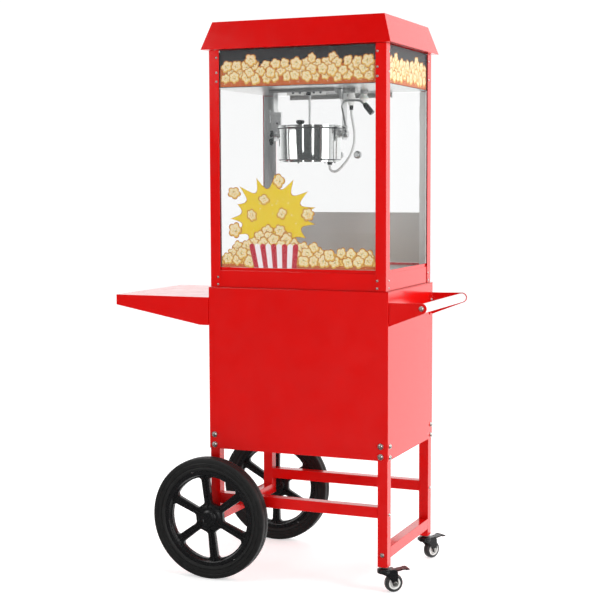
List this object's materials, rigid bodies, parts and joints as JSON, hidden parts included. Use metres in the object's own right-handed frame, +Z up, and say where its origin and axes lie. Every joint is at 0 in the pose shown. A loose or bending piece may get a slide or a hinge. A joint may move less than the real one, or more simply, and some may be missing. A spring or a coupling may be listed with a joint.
{
  "type": "popcorn cart",
  "caption": "Glass-sided popcorn machine with a tilting kettle on a cabinet cart with two large spoked wheels, two braked casters, a side shelf and a push handle.",
  "frame": {"origin": "on the floor, at the centre of the object's bounding box", "axes": "+Z up; the glass front faces -Y; the side shelf and the large wheels are towards -X, the push handle and the casters towards +X"},
  "size_m": [0.9265, 0.495, 1.54],
  "materials": {
    "red_enamel": "gloss powder coat",
    "stainless": "brushed",
    "polished": "mirror polished stainless steel",
    "handle_bar": "bright satin",
    "tyre_rubber": "matt black",
    "lead_sheath": "braided grey sheath",
    "black_plastic": "satin",
    "clear_panel": "clear",
    "opal_bulb": "frosted white"
  },
  "bodies": {
    "cart": {"leg_front_left": "red_enamel", "leg_front_right": "red_enamel", "leg_rear_left": "red_enamel", "leg_rear_right": "red_enamel", "rail_front": "red_enamel", "rail_rear": "red_enamel", "rail_left": "red_enamel", "rail_right": "red_enamel", "wheel_axle": "stainless", "cabinet_shell": "red_enamel", "cabinet_top": "red_enamel", "cabinet_floor": "red_enamel", "handle_plate_front": "red_enamel", "handle_plate_rear": "red_enamel", "handle_bar": "handle_bar", "side_shelf": "red_enamel", "machine_base": "red_enamel", "deck": "stainless", "rear_panel": "stainless", "post_front_left": "red_enamel", "post_front_right": "red_enamel", "post_rear_left": "red_enamel", "post_rear_right": "red_enamel", "roof": "red_enamel", "ceiling_panel": "stainless", "switch_panel": "red_enamel", "glass_front": "clear_panel", "glass_left": "clear_panel", "glass_right": "clear_panel", "hanger_left": "stainless", "hanger_right": "stainless", "kettle_lead": "lead_sheath", "kettle_plug": "black_plastic", "stir_motor": "stainless", "lamp": "opal_bulb"},
    "wheel_front": {"tyre_front": "tyre_rubber", "rim_front": "black_plastic"},
    "wheel_rear": {"tyre_rear": "tyre_rubber", "rim_rear": "black_plastic"},
    "caster_front": {"caster_fork_front": "black_plastic"},
    "caster_rear": {"caster_fork_rear": "black_plastic"},
    "roller_front": {"caster_wheel_front": "tyre_rubber"},
    "roller_rear": {"caster_wheel_rear": "tyre_rubber"},
    "brake_front": {"brake_pedal_front": "black_plastic"},
    "brake_rear": {"brake_pedal_rear": "black_plastic"},
    "cabinet_door": {"cabinet_door": "red_enamel"},
    "rear_door_left": {"rear_door_left": "clear_panel", "door_knob_left": "stainless"},
    "rear_door_right": {"rear_door_right": "clear_panel", "door_knob_right": "stainless"},
    "kettle": {"kettle_pot": "polished", "dump_handle": "stainless"},
    "lid_front": {"kettle_lid_front": "polished"},
    "lid_rear": {"kettle_lid_rear": "polished"},
    "stirrer": {"stirrer": "stainless"},
    "coupler": {"drive_coupler": "black_plastic"},
    "drawer": {"crumb_drawer": "stainless"},
    "rocker_power": {"rocker_power": "black_plastic"},
    "rocker_heat": {"rocker_heat": "black_plastic"},
    "rocker_light": {"rocker_light": "black_plastic"}
  },
  "joints": [
    {"name": "wheel_front_spin", "type": "hinge", "parent": "cart", "child": "wheel_front", "pos_m": [-0.15325, -0.2285, 0.171], "axis": [0, 1, 0], "continuous": true},
    {"name": "wheel_rear_spin", "type": "hinge", "parent": "cart", "child": "wheel_rear", "pos_m": [-0.15325, 0.2285, 0.171], "axis": [0, 1, 0], "continuous": true},
    {"name": "caster_front_swivel", "type": "hinge", "parent": "cart", "child": "caster_front", "pos_m": [0.34295, -0.1787, 0.06], "axis": [0, 0, 1], "continuous": true},
    {"name": "caster_rear_swivel", "type": "hinge", "parent": "cart", "child": "caster_rear", "pos_m": [0.34295, 0.1787, 0.06], "axis": [0, 0, 1], "continuous": true},
    {"name": "caster_front_roll", "type": "hinge", "parent": "caster_front", "child": "roller_front", "pos_m": [0.36363, -0.16134, 0.025], "axis": [0.6428, -0.766, 0], "continuous": true},
    {"name": "caster_rear_roll", "type": "hinge", "parent": "caster_rear", "child": "roller_rear", "pos_m": [0.35645, 0.20208, 0.025], "axis": [0.866, -0.5, 0], "continuous": true},
    {"name": "brake_front_press", "type": "hinge", "parent": "caster_front", "child": "brake_front", "pos_m": [0.36134, -0.16327, 0.0585], "axis": [-0.6428, 0.766, 0], "range_deg": [0, 12]},
    {"name": "brake_rear_press", "type": "hinge", "parent": "caster_rear", "child": "brake_rear", "pos_m": [0.35495, 0.19948, 0.0585], "axis": [-0.866, 0.5, 0], "range_deg": [0, 12]},
    {"name": "cabinet_door_hinge", "type": "hinge", "parent": "cart", "child": "cabinet_door", "pos_m": [-0.13075, 0.1996, 0.6175], "axis": [0, 0, 1], "range_deg": [0, 110]},
    {"name": "rear_door_left_hinge", "type": "hinge", "parent": "cart", "child": "rear_door_left", "pos_m": [-0.12955, 0.1964, 1.18725], "axis": [0, 0, 1], "range_deg": [0, 105]},
    {"name": "rear_door_right_hinge", "type": "hinge", "parent": "cart", "child": "rear_door_right", "pos_m": [0.31905, 0.1964, 1.18725], "axis": [0, 0, -1], "range_deg": [0, 105]},
    {"name": "kettle_tilt", "type": "hinge", "parent": "cart", "child": "kettle", "pos_m": [0.06475, -0.02, 1.235], "axis": [1, 0, 0], "range_deg": [0, 95], "deforming": ["kettle_lead"]},
    {"name": "lid_front_hinge", "type": "hinge", "parent": "kettle", "child": "lid_front", "pos_m": [0.06475, -0.0212, 1.25855], "axis": [-1, 0, 0], "range_deg": [0, 65]},
    {"name": "lid_rear_hinge", "type": "hinge", "parent": "kettle", "child": "lid_rear", "pos_m": [0.06475, -0.0188, 1.25855], "axis": [1, 0, 0], "range_deg": [0, 65]},
    {"name": "stirrer_spin", "type": "hinge", "parent": "kettle", "child": "stirrer", "pos_m": [0.06475, -0.02, 1.173], "axis": [0, 0, 1], "continuous": true},
    {"name": "coupler_spin", "type": "hinge", "parent": "cart", "child": "coupler", "pos_m": [0.06475, -0.02, 1.36], "axis": [0, 0, 1], "continuous": true},
    {"name": "drawer_slide", "type": "slide", "parent": "cart", "child": "drawer", "axis": [0, 1, 0], "range_m": [0, 0.28]},
    {"name": "rocker_power_press", "type": "hinge", "parent": "cart", "child": "rocker_power", "pos_m": [0.21475, 0.1889, 1.412], "axis": [-1, 0, 0], "range_deg": [0, 14]},
    {"name": "rocker_heat_press", "type": "hinge", "parent": "cart", "child": "rocker_heat", "pos_m": [0.24875, 0.1889, 1.412], "axis": [-1, 0, 0], "range_deg": [0, 14]},
    {"name": "rocker_light_press", "type": "hinge", "parent": "cart", "child": "rocker_light", "pos_m": [0.28275, 0.1889, 1.412], "axis": [-1, 0, 0], "range_deg": [0, 14]}
  ],
  "couplings": [
    {"joint": "coupler_spin", "follows": "stirrer_spin", "ratio": 1}
  ]
}
